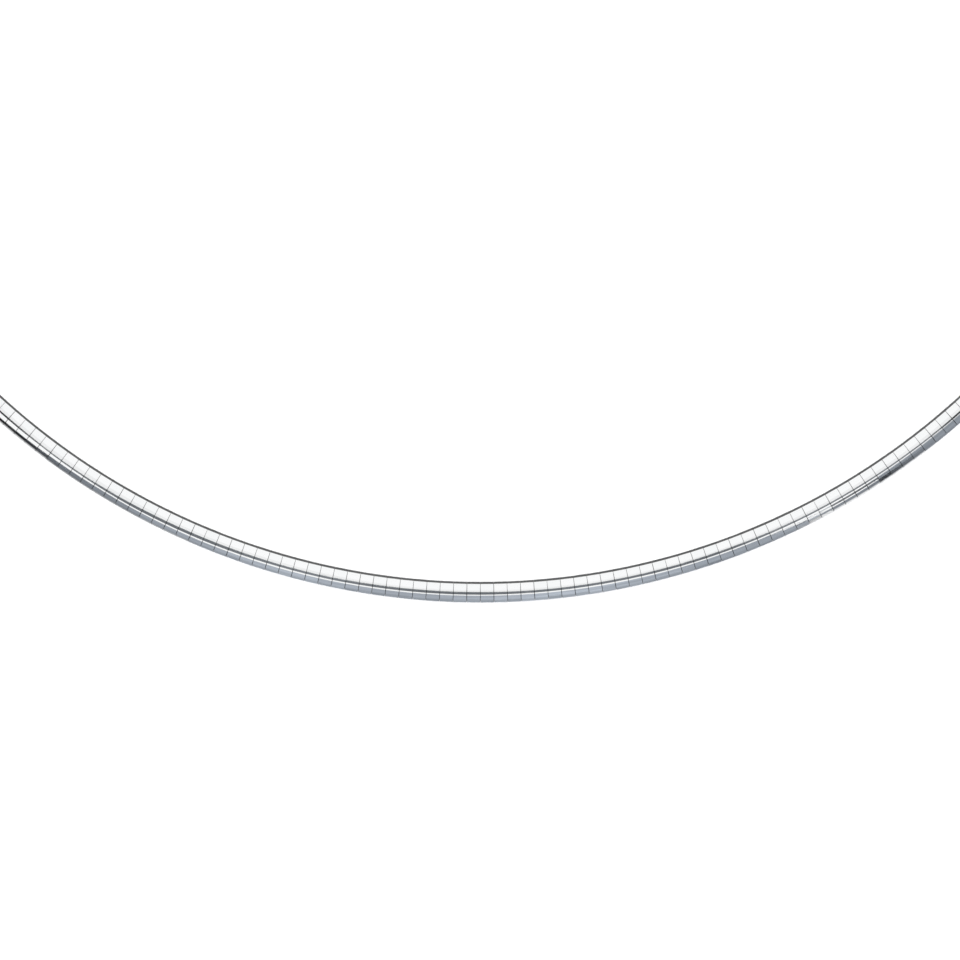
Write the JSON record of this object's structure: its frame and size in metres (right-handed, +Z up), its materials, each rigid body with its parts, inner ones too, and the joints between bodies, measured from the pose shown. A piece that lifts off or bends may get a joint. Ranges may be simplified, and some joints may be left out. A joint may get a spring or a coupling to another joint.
{
  "type": "omega neck chain",
  "caption": "Slim polished omega neck chain: domed metal plates side by side over a flat woven wire core, in a round loop lying flat with a plain box clasp at the back.",
  "frame": {"origin": "centre of the loop, on the plane that its underside lies on", "axes": "+Z up, out of the domed face; -Y towards the front of the loop and +Y towards the clasp; X across the loop"},
  "size_m": [0.1394, 0.1395, 0.0016],
  "materials": {
    "polished_silver": "polished",
    "woven_wire": "satin",
    "clasp_silver": "polished"
  },
  "bodies": {
    "root": {"plates": "polished_silver", "mesh_core": "woven_wire", "end_cap_left": "clasp_silver", "end_cap_right": "clasp_silver", "clasp": "clasp_silver"}
  },
  "joints": []
}
